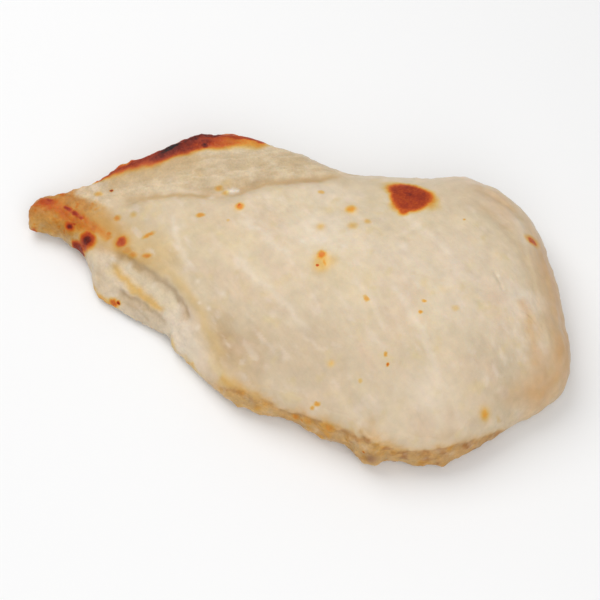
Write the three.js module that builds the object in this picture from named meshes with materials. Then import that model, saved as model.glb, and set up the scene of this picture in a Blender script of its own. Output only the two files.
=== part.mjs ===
// A cooked chicken breast: one boneless, skinless fillet lying smooth side up.
// Millimetres, +Z up. +X runs from the thin tip to the broad end, +Y to the side with the side flap.
// The origin is on the table, under the middle of the fillet.
import * as THREE from "three";

// Mesh fineness: points around the outline, and rings from the middle of the top to that of the underside.
const AROUND = 160;
const TOP_RINGS = 20;
const SHOULDER_RINGS = 6;
const TUCK_RINGS = 3;
const UNDER_RINGS = 5;

// The outline seen from above, clockwise from the tip: along the far side to the broad end, and back along
// the near side. Each station is x, y, the height of the edge's outermost line, and how far in the rounding
// above it runs.
const OUTLINE = [
  // the tip, thin and crisp
  [-82, -13, 4, 4],
  [-82.5, -6, 5, 3.5],
  [-76, -2, 6, 3.5],
  // the side flap, with a thin raised edge
  [-68, 3.5, 9, 3],
  [-59.5, 13.5, 12, 2.6],
  [-51, 23, 13.5, 2.6],
  [-42.5, 30, 13.5, 3],
  [-30, 34.5, 12, 3.2],
  [-17.5, 35, 10, 4],
  // the thick far side, well rounded
  [-2.5, 34, 9, 7],
  [9, 37.5, 8.5, 13],
  [23, 41.5, 8.5, 14],
  [34.5, 47, 8, 13],
  [46, 45.5, 8, 9],
  [58, 39.5, 7.5, 7],
  // the broad end
  [68.5, 26, 7, 8],
  [78, 10.5, 6.5, 9],
  [83, -2, 6, 9],
  [80, -12, 5, 8.5],
  [73, -21, 4.5, 7],
  [67, -31, 4, 5],
  [61, -38.5, 4, 4],
  // the near side, a low wall with a small scrap at its foot
  [52.5, -42, 4, 4],
  [41, -47, 4, 4],
  [34, -45, 4, 4],
  [23, -44.5, 4, 4],
  [12, -44, 4, 4],
  [2, -45.5, 4, 4],
  [-9, -42, 3.5, 4],
  [-21, -36.5, 3, 4],
  // the thin folds beside the tip
  [-28.5, -31.5, 2.6, 3],
  [-41.5, -29.5, 2, 2],
  [-52.5, -27, 2.2, 2],
  [-57.5, -21.5, 3, 2.5],
  [-62.5, -17, 4, 3],
  [-68, -15.5, 4, 3],
  [-74.5, -14.5, 3.6, 3],
];
const BROAD_END = 17;

// The line down the middle that the rings close on.
const SPINE = [
  [-75, -8.5],
  [-59, -6.5],
  [-29, -2.5],
  [1, -0.5],
  [31, 1.5],
  [53, 3.5],
  [67, 3.5],
];

// Cross sections of the top: x, then y and height at the near shoulder, the crest and the far shoulder.
const SECTIONS = [
  [-83, -14.5, 6, -8.5, 8, -3.5, 8],
  [-69, -16.5, 6.5, -8.5, 11, 1.5, 11],
  [-54, -25.5, 5, -5.5, 14, 16.5, 15.5],
  [-39, -28.5, 5.5, -2.5, 17.5, 30.5, 17],
  [-19, -36.5, 8, -0.5, 21.5, 34.5, 16.5],
  [1, -44.5, 10.5, 2.5, 25, 33.5, 17.5],
  [21, -43.5, 12.5, 5.5, 27.5, 39.5, 21],
  [41, -45.5, 12.5, 7.5, 28, 45.5, 20],
  [61, -36.5, 12, 5.5, 26, 37.5, 17],
  [85, -10.5, 11, 3.5, 17, 15.5, 14],
];

// Creases (negative depth) and ridges (positive): the depth, the half width, the share of the path over which
// each end fades out, and the path on the top.
const CREASES = [
  // the crease that parts the side flap from the body
  {
    depth: -1.2,
    width: 2.2,
    ends: 0.12,
    path: [[-61, -2], [-48, 4], [-38.5, 8], [-29.5, 10], [-24.5, 12.5], [-18, 18], [-4.5, 25], [2, 29.5]],
  },
  // the lip of the body beside the tip
  {
    depth: 0.6,
    width: 2,
    ends: 0.12,
    path: [[-53, -15.5], [-39, -18], [-31.5, -19], [-26.5, -21.5], [-19, -27.5], [-11, -34], [-6, -38]],
  },
  // the hollow behind that lip
  {
    depth: -1.1,
    width: 4.4,
    ends: 0.4,
    path: [[-17, -20.5], [-12.3, -25.6], [-8.1, -29.6], [-3.3, -33.1], [1.1, -37.2], [5, -40.8]],
  },
  // the shallow groove inside the broad end's edge
  {
    depth: -0.8,
    width: 2,
    ends: 0.15,
    path: [[34.5, 39], [49.5, 37], [56, 34.5], [61, 28.5], [66, 20.5], [74, 7], [78, -0.5]],
  },
];

// Folds: one layer of meat ends along the path and lies over a lower one on its near side. The drop between
// them, half the width that it takes, and how far out the lower layer stays low.
const FOLDS = [
  // the body's lip over the fold beside the tip
  {
    drop: 1.1,
    width: 1.1,
    run: 8,
    path: [[-52.5, -16.2], [-43, -18.4], [-38, -19.7], [-29, -22.8], [-25.5, -25], [-20.5, -30]],
  },
  // that fold over the lowest flange
  {
    drop: 0.9,
    width: 1,
    run: 5,
    path: [[-47, -25.2], [-41, -26], [-36.3, -27.4], [-32.5, -29], [-28, -31.3]],
  },
];
// The share of its path over which each end of a fold fades out.
const FOLD_FADE = 0.12;

// Slow unevenness of the muscle: height, waves per millimetre along x and y in radians, and phase.
const WAVES = [
  [0.4, 0.115, 0.062, 0.6],
  [0.3, -0.071, 0.165, 2.1],
  [0.22, 0.21, 0.13, 4],
];

// The edge's fine unevenness: amplitude, whole waves around the outline, and phase.
const EDGE_WAVES = [
  [0.1, 23, 0.4],
  [0.08, 37, 2.2],
];

// Small bumps (positive) and dents of the edge: how far out, the outline station, and half the width in
// stations.
const EDGE_BUMPS = [
  [0.8, 3.5, 0.4],
  [-1, 4.6, 0.5],
  [-1.2, 7.5, 0.35],
  [-0.6, 12.5, 0.4],
  [-0.6, 20.3, 0.6],
  [0.6, 22, 0.2],
  [-1, 22.5, 0.3],
  [0.6, 23.6, 0.3],
  [-0.6, 26.8, 0.6],
  [0.5, 29.5, 0.3],
  [-1.1, 35.5, 0.35],
  [0.9, 36.5, 0.35],
];

// The edge: the power of the rounding above its outermost line, how far in the rounding below runs, and the
// least rise to the top. Neither rounding takes more than a share of the way to the spine.
const SHOULDER_POWER = 2.4;
const TUCK = 6;
const LEAST_RISE = 0.6;
const ROUNDING_SHARE = 0.75;
// Where the edge runs almost along a spoke, insets are measured as if it crossed at no less than this slant.
const LEAST_SLANT = 0.45;
// How far past a section's shoulder its arch goes on, as a share of its half width.
const PAST_SHOULDER = 1.3;
// Steps in which the outline's length is measured.
const CHAIN_STEPS = 600;

// The underside: flat between four corners, where it rests. Around them it lifts, first by a step and then
// slowly.
const REST_CORNERS = [[-28, -24], [44, -28], [52, 16], [-20, 22]];
const REST_MARGIN = 1;
const REST_STEP = 0.15;
const UNDER_LIFT = 1.6;
const UNDER_RUN = 18;

const clamp = (v, low, high) => Math.min(high, Math.max(low, v));
const smooth = (v) => v * v * (3 - 2 * v);

// A point on the Catmull-Rom curve through rows of numbers; t runs from 0 to 1.
function catmull(rows, t, closed) {
  const count = rows.length;
  const spans = closed ? count : count - 1;
  const f = clamp(t, 0, 1) * spans;
  const i = Math.min(Math.floor(f), spans - 1);
  const u = f - i;
  const row = (k) => {
    if (closed) return rows[(i + k + count) % count];
    const n = i + k;
    if (n < 0) return rows[0].map((v, c) => 2 * v - rows[1][c]);
    if (n >= count) return rows[count - 1].map((v, c) => 2 * v - rows[count - 2][c]);
    return rows[n];
  };
  const [a, b, c, d] = [row(-1), row(0), row(1), row(2)];
  return b.map(
    (_, k) =>
      0.5 *
      (2 * b[k] +
        (c[k] - a[k]) * u +
        (2 * a[k] - 5 * b[k] + 4 * c[k] - d[k]) * u ** 2 +
        (3 * b[k] - a[k] - 3 * c[k] + d[k]) * u ** 3),
  );
}

// The columns of a table at x, its first column, by a cubic through the rows.
function tableAt(table, x) {
  const last = table.length - 1;
  const at = clamp(x, table[0][0], table[last][0]);
  let i = 0;
  while (i < last - 1 && at > table[i + 1][0]) i += 1;
  const slope = (n, c) => {
    const before = Math.max(n - 1, 0);
    const after = Math.min(n + 1, last);
    return (table[after][c] - table[before][c]) / (table[after][0] - table[before][0]);
  };
  const step = table[i + 1][0] - table[i][0];
  const u = (at - table[i][0]) / step;
  return table[i].slice(1).map((v, k) => {
    const c = k + 1;
    return (
      (2 * u ** 3 - 3 * u ** 2 + 1) * v +
      (u ** 3 - 2 * u ** 2 + u) * step * slope(i, c) +
      (3 * u ** 2 - 2 * u ** 3) * table[i + 1][c] +
      (u ** 3 - u ** 2) * step * slope(i + 1, c)
    );
  });
}

// How far x, y is from a path, how far along the path its nearest point is, from 0 to 1, and whether it lies
// on the path's left (1) or right (-1).
function nearPath(path, x, y) {
  const lengths = path.slice(1).map(([px, py], k) => Math.hypot(px - path[k][0], py - path[k][1]));
  const total = lengths.reduce((sum, v) => sum + v, 0);
  let best = { distance: Infinity, share: 0, side: 1 };
  let start = 0;
  lengths.forEach((length, k) => {
    const [ax, ay] = path[k];
    const dx = (path[k + 1][0] - ax) / length;
    const dy = (path[k + 1][1] - ay) / length;
    const s = clamp((x - ax) * dx + (y - ay) * dy, 0, length);
    const distance = Math.hypot(x - ax - s * dx, y - ay - s * dy);
    const side = Math.sign(dx * (y - ay) - dy * (x - ax));
    if (distance < best.distance) best = { distance, share: (start + s) / total, side };
    start += length;
  });
  return best;
}

// 1 along the middle of a path, falling smoothly to 0 at both ends over a share of its length.
function fadeAt(share, ends) {
  return smooth(clamp(Math.min(share, 1 - share) / ends, 0, 1));
}

// The height of the top at x, y: the arched sections, the creases, the folds and the slow unevenness.
function topHeight(x, y) {
  const [nearY, nearZ, crestY, crestZ, farY, farZ] = tableAt(SECTIONS, x);
  const out = y > crestY ? (y - crestY) / (farY - crestY) : (crestY - y) / (crestY - nearY);
  const shoulder = y > crestY ? farZ : nearZ;
  let z = crestZ - (crestZ - shoulder) * clamp(out, 0, PAST_SHOULDER) ** 2;
  for (const { depth, width, ends, path } of CREASES) {
    const { distance, share } = nearPath(path, x, y);
    z += depth * fadeAt(share, ends) * Math.exp(-((distance / width) ** 2));
  }
  for (const { drop, width, run, path } of FOLDS) {
    const { distance, share, side } = nearPath(path, x, y);
    const beyond = -side * distance;
    const down = smooth(clamp((beyond + width) / (2 * width), 0, 1));
    const back = smooth(clamp((beyond - width) / run, 0, 1));
    z -= drop * fadeAt(share, FOLD_FADE) * down * (1 - back);
  }
  for (const [height, kx, ky, phase] of WAVES) z += height * Math.sin(kx * x + ky * y + phase);
  return z;
}

// How far x, y is outside the four sides of the flat that it rests on; inside it is negative.
function restDistance(x, y) {
  return Math.max(
    ...REST_CORNERS.map(([ax, ay], k) => {
      const [bx, by] = REST_CORNERS[(k + 1) % REST_CORNERS.length];
      return ((x - ax) * (by - ay) - (y - ay) * (bx - ax)) / Math.hypot(bx - ax, by - ay);
    }),
  );
}

// The height of the underside at x, y.
function underHeight(x, y) {
  const distance = restDistance(x, y);
  if (distance < -REST_MARGIN) return 0;
  return REST_STEP + (UNDER_LIFT - REST_STEP) * smooth(clamp(distance / UNDER_RUN, 0, 1));
}

// Points along the outline from one station to another, evenly spaced, with the station of each as a last
// column.
function chain(from, to, pieces) {
  const points = [];
  for (let k = 0; k <= CHAIN_STEPS; k += 1) {
    const station = from + ((to - from) * k) / CHAIN_STEPS;
    points.push([...catmull(OUTLINE, (station / OUTLINE.length) % 1, true), station]);
  }
  const lengths = [0];
  for (let k = 1; k <= CHAIN_STEPS; k += 1) {
    const step = Math.hypot(points[k][0] - points[k - 1][0], points[k][1] - points[k - 1][1]);
    lengths.push(lengths[k - 1] + step);
  }
  const made = [];
  let k = 0;
  for (let n = 0; n < pieces; n += 1) {
    const want = (lengths[CHAIN_STEPS] * n) / pieces;
    while (lengths[k + 1] < want) k += 1;
    const u = (want - lengths[k]) / (lengths[k + 1] - lengths[k]);
    made.push(points[k].map((v, c) => v + (points[k + 1][c] - v) * u));
  }
  return made;
}

// One spoke for each point around: where it starts on the spine, where it ends on the edge, and how the edge
// is rounded there.
function spokes() {
  const half = AROUND / 2;
  const edge = [...chain(0, BROAD_END, half), ...chain(BROAD_END, OUTLINE.length, half)];
  return edge.map(([x, y, mid, run, station], i) => {
    const share = i <= half ? i / half : (AROUND - i) / half;
    const [sx, sy] = catmull(SPINE, share, false);
    const before = edge[(i + AROUND - 1) % AROUND];
    const after = edge[(i + 1) % AROUND];
    const along = new THREE.Vector2(after[0] - before[0], after[1] - before[1]).normalize();
    let ripple = 0;
    for (const [size, waves, phase] of EDGE_WAVES) {
      ripple += size * Math.sin((2 * Math.PI * waves * i) / AROUND + phase);
    }
    for (const [size, at, width] of EDGE_BUMPS) ripple += size * Math.exp(-(((station - at) / width) ** 2));
    const ex = x - along.y * ripple;
    const ey = y + along.x * ripple;
    const length = Math.hypot(ex - sx, ey - sy);
    const slant = Math.abs((ex - sx) * along.y - (ey - sy) * along.x) / length;
    const reach = length * clamp(slant, LEAST_SLANT, 1);
    return {
      mid,
      reach,
      run: Math.min(run, ROUNDING_SHARE * reach),
      tuck: Math.min(TUCK, ROUNDING_SHARE * reach),
      at: (inset) => [ex + (sx - ex) * (inset / reach), ey + (sy - ey) * (inset / reach)],
    };
  });
}

// Rings of points from the middle of the top, over the edge, to the middle of the underside.
function ringPoints() {
  const around = spokes();
  const rings = [];
  const topRing = (insetOf) =>
    around.map((spoke) => {
      const inset = insetOf(spoke);
      const [x, y] = spoke.at(inset);
      const rise = Math.max(topHeight(x, y) - spoke.mid, LEAST_RISE);
      const out = 1 - clamp(inset / spoke.run, 0, 1);
      return new THREE.Vector3(x, y, spoke.mid + rise * (1 - out ** SHOULDER_POWER) ** (1 / SHOULDER_POWER));
    });
  const underRing = (insetOf) =>
    around.map((spoke) => {
      const inset = insetOf(spoke);
      const [x, y] = spoke.at(inset);
      const low = underHeight(x, y);
      const out = 1 - clamp(inset / spoke.tuck, 0, 1);
      return new THREE.Vector3(x, y, spoke.mid - (spoke.mid - low) * Math.sqrt(1 - out ** 2));
    });
  for (let k = 0; k < TOP_RINGS; k += 1) {
    rings.push(topRing(({ reach, run }) => reach - (k / TOP_RINGS) * (reach - run)));
  }
  for (let k = 0; k <= SHOULDER_RINGS; k += 1) {
    const turn = 1 - Math.sin(((Math.PI / 2) * k) / SHOULDER_RINGS);
    rings.push(topRing(({ run }) => run * turn));
  }
  for (let k = 1; k <= TUCK_RINGS; k += 1) {
    const turn = 1 - Math.cos(((Math.PI / 2) * k) / TUCK_RINGS);
    rings.push(underRing(({ tuck }) => tuck * turn));
  }
  const underStart = rings.length;
  for (let k = 1; k <= UNDER_RINGS; k += 1) {
    rings.push(underRing(({ reach, tuck }) => tuck + (k / UNDER_RINGS) * (reach - tuck)));
  }
  settle(rings.slice(underStart, -1).flat());
  return rings;
}

// Moves the point of the underside nearest each corner of the rest onto that corner.
function settle(points) {
  for (const [x, y] of REST_CORNERS) {
    const away = (point) => Math.hypot(point.x - x, point.y - y);
    const nearest = points.reduce((best, point) => (away(point) < away(best) ? point : best));
    nearest.set(x, y, 0);
  }
}

// The closed surface over the rings. Both ends meet on the spine, where the spokes of the two sides join.
function breastGeometry() {
  const rings = ringPoints();
  const index = [];
  for (let j = 0; j < rings.length - 1; j += 1) {
    for (let i = 0; i < AROUND; i += 1) {
      const next = (i + 1) % AROUND;
      const [a, b] = [j * AROUND + i, j * AROUND + next];
      const [c, d] = [a + AROUND, b + AROUND];
      index.push(a, b, c, b, d, c);
    }
  }
  const geometry = new THREE.BufferGeometry().setFromPoints(rings.flat());
  geometry.setIndex(index);
  geometry.computeVertexNormals();
  return geometry;
}

const cookedMeat = new THREE.MeshStandardMaterial({
  color: new THREE.Color().setRGB(0.83, 0.74, 0.62, THREE.SRGBColorSpace),
  roughness: 0.5,
  metalness: 0,
});

const breast = new THREE.Mesh(breastGeometry(), cookedMeat);
breast.name = "chicken_breast";

const root = new THREE.Group();
root.add(breast);

export default root;
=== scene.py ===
"""A cooked chicken breast: its fine surface, its colours and the studio around it.

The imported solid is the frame. The fine surface follows the same form, with the same named values in
millimetres, and adds the wrinkles, fibres and crags that the solid leaves out.
"""
import itertools
import math
from typing import NamedTuple

import bpy
import numpy as np
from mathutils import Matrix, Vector


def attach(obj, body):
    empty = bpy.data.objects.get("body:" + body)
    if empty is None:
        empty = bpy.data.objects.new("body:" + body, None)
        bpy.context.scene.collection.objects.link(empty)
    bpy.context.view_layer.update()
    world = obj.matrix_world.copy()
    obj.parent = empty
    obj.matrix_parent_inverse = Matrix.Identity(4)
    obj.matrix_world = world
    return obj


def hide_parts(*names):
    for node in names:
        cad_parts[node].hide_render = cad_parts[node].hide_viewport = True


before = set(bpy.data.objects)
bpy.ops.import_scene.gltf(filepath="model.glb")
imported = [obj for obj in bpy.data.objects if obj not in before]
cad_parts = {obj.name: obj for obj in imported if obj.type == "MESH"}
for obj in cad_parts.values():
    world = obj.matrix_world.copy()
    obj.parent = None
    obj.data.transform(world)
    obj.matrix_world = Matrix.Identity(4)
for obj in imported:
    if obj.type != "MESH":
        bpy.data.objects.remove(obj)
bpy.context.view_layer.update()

NODE = "chicken_breast"
MM = 0.001

# Fineness of the surface: points around the outline, and rings from the top's middle to the underside's.
AROUND = 680
TOP_RINGS = 78
SHOULDER_RINGS = 26
TUCK_RINGS = 13
UNDER_RINGS = 29

# The form, as in the solid's source

# The outline, clockwise from the tip: x, y, height of the edge's outermost line, run of the rounding above.
# A station is a place along it, counted in these rows.
OUTLINE = np.array([
    # the tip
    (-82, -13, 4, 4), (-82.5, -6, 5, 3.5), (-76, -2, 6, 3.5),
    # the side flap
    (-68, 3.5, 9, 3), (-59.5, 13.5, 12, 2.6), (-51, 23, 13.5, 2.6),
    (-42.5, 30, 13.5, 3), (-30, 34.5, 12, 3.2), (-17.5, 35, 10, 4),
    # the far side
    (-2.5, 34, 9, 7), (9, 37.5, 8.5, 13), (23, 41.5, 8.5, 14),
    (34.5, 47, 8, 13), (46, 45.5, 8, 9), (58, 39.5, 7.5, 7),
    # the broad end
    (68.5, 26, 7, 8), (78, 10.5, 6.5, 9), (83, -2, 6, 9),
    (80, -12, 5, 8.5), (73, -21, 4.5, 7), (67, -31, 4, 5), (61, -38.5, 4, 4),
    # the near side
    (52.5, -42, 4, 4), (41, -47, 4, 4), (34, -45, 4, 4), (23, -44.5, 4, 4),
    (12, -44, 4, 4), (2, -45.5, 4, 4), (-9, -42, 3.5, 4), (-21, -36.5, 3, 4),
    # the folds beside the tip
    (-28.5, -31.5, 2.6, 3), (-41.5, -29.5, 2, 2), (-52.5, -27, 2.2, 2),
    (-57.5, -21.5, 3, 2.5), (-62.5, -17, 4, 3), (-68, -15.5, 4, 3), (-74.5, -14.5, 3.6, 3),
])
BROAD_END = 17
# The line down the middle that the rings close on.
SPINE = np.array([(-75, -8.5), (-59, -6.5), (-29, -2.5), (1, -0.5), (31, 1.5), (53, 3.5), (67, 3.5)])
# Cross sections of the top: x, then y and height at the near shoulder, the crest and the far shoulder.
SECTIONS = np.array([
    (-83, -14.5, 6, -8.5, 8, -3.5, 8), (-69, -16.5, 6.5, -8.5, 11, 1.5, 11),
    (-54, -25.5, 5, -5.5, 14, 16.5, 15.5), (-39, -28.5, 5.5, -2.5, 17.5, 30.5, 17),
    (-19, -36.5, 8, -0.5, 21.5, 34.5, 16.5), (1, -44.5, 10.5, 2.5, 25, 33.5, 17.5),
    (21, -43.5, 12.5, 5.5, 27.5, 39.5, 21), (41, -45.5, 12.5, 7.5, 28, 45.5, 20),
    (61, -36.5, 12, 5.5, 26, 37.5, 17), (85, -10.5, 11, 3.5, 17, 15.5, 14),
])
# How far past a section's shoulder its arch goes on, as a share of its half width.
PAST_SHOULDER = 1.3
# Creases and ridges: depth (a ridge's is positive), half width, share over which each end fades, path.
FLAP_CREASE = [(-61, -2), (-48, 4), (-38.5, 8), (-29.5, 10), (-24.5, 12.5), (-18, 18), (-4.5, 25), (2, 29.5)]
LIP = [(-53, -15.5), (-39, -18), (-31.5, -19), (-26.5, -21.5), (-19, -27.5), (-11, -34), (-6, -38)]
LIP_HOLLOW = [(-17, -20.5), (-12.3, -25.6), (-8.1, -29.6), (-3.3, -33.1), (1.1, -37.2), (5, -40.8)]
END_GROOVE = [(34.5, 39), (49.5, 37), (56, 34.5), (61, 28.5), (66, 20.5), (74, 7), (78, -0.5)]
CREASES = [
    (-1.2, 2.2, 0.12, FLAP_CREASE), (0.6, 2, 0.12, LIP), (-1.1, 4.4, 0.4, LIP_HOLLOW),
    (-0.8, 2, 0.15, END_GROOVE),
]
# Folds, where one layer lies over a lower one on its near side: drop, half width, run, path.
LIP_FOLD = [(-52.5, -16.2), (-43, -18.4), (-38, -19.7), (-29, -22.8), (-25.5, -25), (-20.5, -30)]
FLANGE_FOLD = [(-47, -25.2), (-41, -26), (-36.3, -27.4), (-32.5, -29), (-28, -31.3)]
FOLDS = [(1.1, 1.1, 8, LIP_FOLD), (0.9, 1, 5, FLANGE_FOLD)]
FOLD_FADE = 0.12
# Slow unevenness of the muscle: height, waves per millimetre along x and y in radians, and phase.
WAVES = [(0.4, 0.115, 0.062, 0.6), (0.3, -0.071, 0.165, 2.1), (0.22, 0.21, 0.13, 4)]
# The edge's fine unevenness: amplitude, whole waves around the outline, and phase.
EDGE_WAVES = [(0.1, 23, 0.4), (0.08, 37, 2.2)]
# Small bumps and dents of the edge: how far out, the outline station and half the width in stations.
EDGE_BUMPS = [
    (0.8, 3.5, 0.4), (-1, 4.6, 0.5), (-1.2, 7.5, 0.35), (-0.6, 12.5, 0.4), (-0.6, 20.3, 0.6), (0.6, 22, 0.2),
    (-1, 22.5, 0.3), (0.6, 23.6, 0.3), (-0.6, 26.8, 0.6), (0.5, 29.5, 0.3), (-1.1, 35.5, 0.35),
    (0.9, 36.5, 0.35),
]
# The edge: the power of its upper rounding, how far in the lower one runs, the least rise to the top, and the
# most of the way to the spine that a rounding takes.
SHOULDER_POWER = 2.4
TUCK = 6
LEAST_RISE = 0.6
ROUNDING_SHARE = 0.75
# The least slant at which a spoke counts as crossing the edge, when insets are measured.
LEAST_SLANT = 0.45
# Steps in which the outline's length is measured.
CHAIN_STEPS = 2400
# The underside rests flat between four corners and lifts around them, by a step and then slowly.
REST_CORNERS = [(-28, -24), (44, -28), (52, 16), (-20, 22)]
REST_MARGIN = 1
REST_STEP = 0.15
UNDER_LIFT = 1.6
UNDER_RUN = 18


def smooth(v):
    return v * v * (3 - 2 * v)


def ramp(v, low, high):
    """0 below low, 1 above high, smooth between; it falls instead where high is below low."""
    return smooth(np.clip((v - low) / (high - low), 0, 1))


def bell(distance, width):
    return np.exp(-((distance / width) ** 2))


def catmull(rows, t, closed):
    """Points on the Catmull-Rom curve through rows of numbers; t runs from 0 to 1."""
    count = len(rows)
    spans = count if closed else count - 1
    f = np.clip(t, 0, 1) * spans
    i = np.minimum(f.astype(int), spans - 1)
    u = (f - i)[:, None]
    if closed:
        a, b, c, d = (rows[(i + k) % count] for k in (-1, 0, 1, 2))
    else:
        longer = np.vstack([2 * rows[0] - rows[1], rows, 2 * rows[-1] - rows[-2]])
        a, b, c, d = (longer[i + k] for k in (0, 1, 2, 3))
    cubic = 3 * b - a - 3 * c + d
    return 0.5 * (2 * b + (c - a) * u + (2 * a - 5 * b + 4 * c - d) * u ** 2 + cubic * u ** 3)


def table_at(table, x):
    """The columns of a table at x, its first column, by a cubic through the rows."""
    keys, values = table[:, 0], table[:, 1:]
    x = np.clip(x, keys[0], keys[-1])
    i = np.clip(np.searchsorted(keys, x) - 1, 0, len(keys) - 2)
    before = np.maximum(np.arange(len(keys)) - 1, 0)
    after = np.minimum(np.arange(len(keys)) + 1, len(keys) - 1)
    slope = (values[after] - values[before]) / (keys[after] - keys[before])[:, None]
    step = (keys[i + 1] - keys[i])[..., None]
    u = (x - keys[i])[..., None] / step
    bend = (1 - u) * slope[i] - u * slope[i + 1]
    found = values[i] + (values[i + 1] - values[i]) * smooth(u) + step * u * (1 - u) * bend
    return np.moveaxis(found, -1, 0)


def near_path(path, x, y):
    """How far x, y are from a path, at what share of it, and on which side: 1 is its left, -1 its right."""
    path = np.array(path, float)
    lengths = np.linalg.norm(np.diff(path, axis=0), axis=1)
    distance = np.full(np.shape(x), np.inf)
    share = np.zeros(np.shape(x))
    side = np.ones(np.shape(x))
    start = 0.0
    for (ax, ay), (bx, by), length in zip(path[:-1], path[1:], lengths):
        dx, dy = (bx - ax) / length, (by - ay) / length
        s = np.clip((x - ax) * dx + (y - ay) * dy, 0, length)
        here = np.hypot(x - ax - s * dx, y - ay - s * dy)
        nearer = here < distance
        distance = np.where(nearer, here, distance)
        share = np.where(nearer, (start + s) / lengths.sum(), share)
        side = np.where(nearer, np.sign(dx * (y - ay) - dy * (x - ax)), side)
        start += length
    return distance, share, side


def fade_at(share, ends=FOLD_FADE):
    """1 along the middle of a path, falling to 0 at both ends over a share of its length."""
    return ramp(np.minimum(share, 1 - share), 0, ends)


def on_path(path, width, x, y):
    """1 along a path, falling to 0 over its half width and at its ends."""
    distance, share, _ = near_path(path, x, y)
    return fade_at(share) * bell(distance, width)


def top_height(x, y):
    """The height of the top: the arched sections, the creases, the folds and the slow unevenness."""
    near_y, near_z, crest_y, crest_z, far_y, far_z = table_at(SECTIONS, x)
    far = y > crest_y
    out = np.where(far, (y - crest_y) / (far_y - crest_y), (crest_y - y) / (crest_y - near_y))
    z = crest_z - (crest_z - np.where(far, far_z, near_z)) * np.clip(out, 0, PAST_SHOULDER) ** 2
    for depth, width, ends, path in CREASES:
        distance, share, _ = near_path(path, x, y)
        z = z + depth * fade_at(share, ends) * bell(distance, width)
    for drop, width, run, path in FOLDS:
        distance, share, side = near_path(path, x, y)
        beyond = -side * distance
        z = z - drop * fade_at(share) * ramp(beyond, -width, width) * (1 - ramp(beyond, width, width + run))
    for height, kx, ky, phase in WAVES:
        z = z + height * np.sin(kx * x + ky * y + phase)
    return z


def rest_distance(x, y):
    """How far x, y is outside the four sides of the flat that it rests on; inside it is negative."""
    sides = []
    for (ax, ay), (bx, by) in zip(REST_CORNERS, REST_CORNERS[1:] + REST_CORNERS[:1]):
        sides.append(((x - ax) * (by - ay) - (y - ay) * (bx - ax)) / math.hypot(bx - ax, by - ay))
    return np.max(sides, axis=0)


def under_height(x, y):
    distance = rest_distance(x, y)
    step = REST_STEP * ramp(distance, -REST_MARGIN, REST_MARGIN)
    return step + (UNDER_LIFT - REST_STEP) * ramp(distance, 0, UNDER_RUN)


def chain(first, last, pieces):
    """Points along the outline from one station to another, evenly spaced, with the station of each."""
    stations = np.linspace(first, last, CHAIN_STEPS + 1)
    points = catmull(OUTLINE, (stations / len(OUTLINE)) % 1, True)
    steps = np.linalg.norm(np.diff(points[:, :2], axis=0), axis=1)
    lengths = np.concatenate([[0], np.cumsum(steps)])
    want = lengths[-1] * np.arange(pieces) / pieces
    columns = [np.interp(want, lengths, column) for column in (*points.T, stations)]
    return np.stack(columns, -1)


def edge_line():
    """The edge's points with their height, rounding run and station, and its direction at each."""
    half = AROUND // 2
    edge = np.vstack([chain(0, BROAD_END, half), chain(BROAD_END, len(OUTLINE), half)])
    along = np.roll(edge[:, :2], -1, 0) - np.roll(edge[:, :2], 1, 0)
    along /= np.linalg.norm(along, axis=1)[:, None]
    turn = 2 * math.pi * np.arange(AROUND) / AROUND
    ripple = sum(size * np.sin(waves * turn + phase) for size, waves, phase in EDGE_WAVES)
    for size, at, width in EDGE_BUMPS:
        ripple = ripple + size * bell(edge[:, 4] - at, width)
    edge[:, :2] += np.stack([-along[:, 1], along[:, 0]], -1) * ripple[:, None]
    return edge, along


def rings():
    """The surface's points in rings, and for each the station, the inset and how far round the edge it is.

    The last is 0 on the top, rises to 1 at the edge's outermost line, and goes on to 2 underneath.
    """
    half = AROUND // 2
    edge, along = edge_line()
    tips, mid, station = edge[:, :2], edge[:, 2], edge[:, 4]
    spoke = tips - catmull(SPINE, np.concatenate([np.arange(half), np.arange(half, 0, -1)]) / half, False)
    length = np.linalg.norm(spoke, axis=1)
    slant = np.abs(spoke[:, 0] * along[:, 1] - spoke[:, 1] * along[:, 0]) / length
    reach = length * np.clip(slant, LEAST_SLANT, 1)
    run = np.minimum(edge[:, 3], ROUNDING_SHARE * reach)
    tuck = np.minimum(TUCK, ROUNDING_SHARE * reach)
    quarter = math.pi / 2

    def ring(inset, under):
        x, y = (tips - spoke * (inset / reach)[:, None]).T
        if under:
            out = 1 - np.clip(inset / tuck, 0, 1)
            z = mid - (mid - under_height(x, y)) * np.sqrt(1 - out ** 2)
            return np.stack([x, y, z, station, inset, 2 - out], -1)
        rise = np.maximum(top_height(x, y) - mid, LEAST_RISE)
        out = 1 - np.clip(inset / run, 0, 1)
        z = mid + rise * (1 - out ** SHOULDER_POWER) ** (1 / SHOULDER_POWER)
        return np.stack([x, y, z, station, inset, out], -1)

    made = [ring(reach - (k / TOP_RINGS) * (reach - run), False) for k in range(TOP_RINGS)]
    for k in range(SHOULDER_RINGS + 1):
        made.append(ring(run * (1 - math.sin(quarter * k / SHOULDER_RINGS)), False))
    for k in range(1, TUCK_RINGS + 1):
        made.append(ring(tuck * (1 - math.cos(quarter * k / TUCK_RINGS)), True))
    for k in range(1, UNDER_RINGS + 1):
        made.append(ring(tuck + (k / UNDER_RINGS) * (reach - tuck), True))
    made = np.array(made)
    return made[..., :3], made[..., 3:]


# Noise

# The hash that gives each whole-numbered place its random number, in 32 bits.
HASH_MASK = 0xFFFFFFFF
HASH_FACTORS = (73856093, 19349663, 83492791)
HASH_SEED_FACTOR = 2654435
HASH_MIXERS = [(15, 2246822519), (13, 3266489917), (16, 1)]


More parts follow.
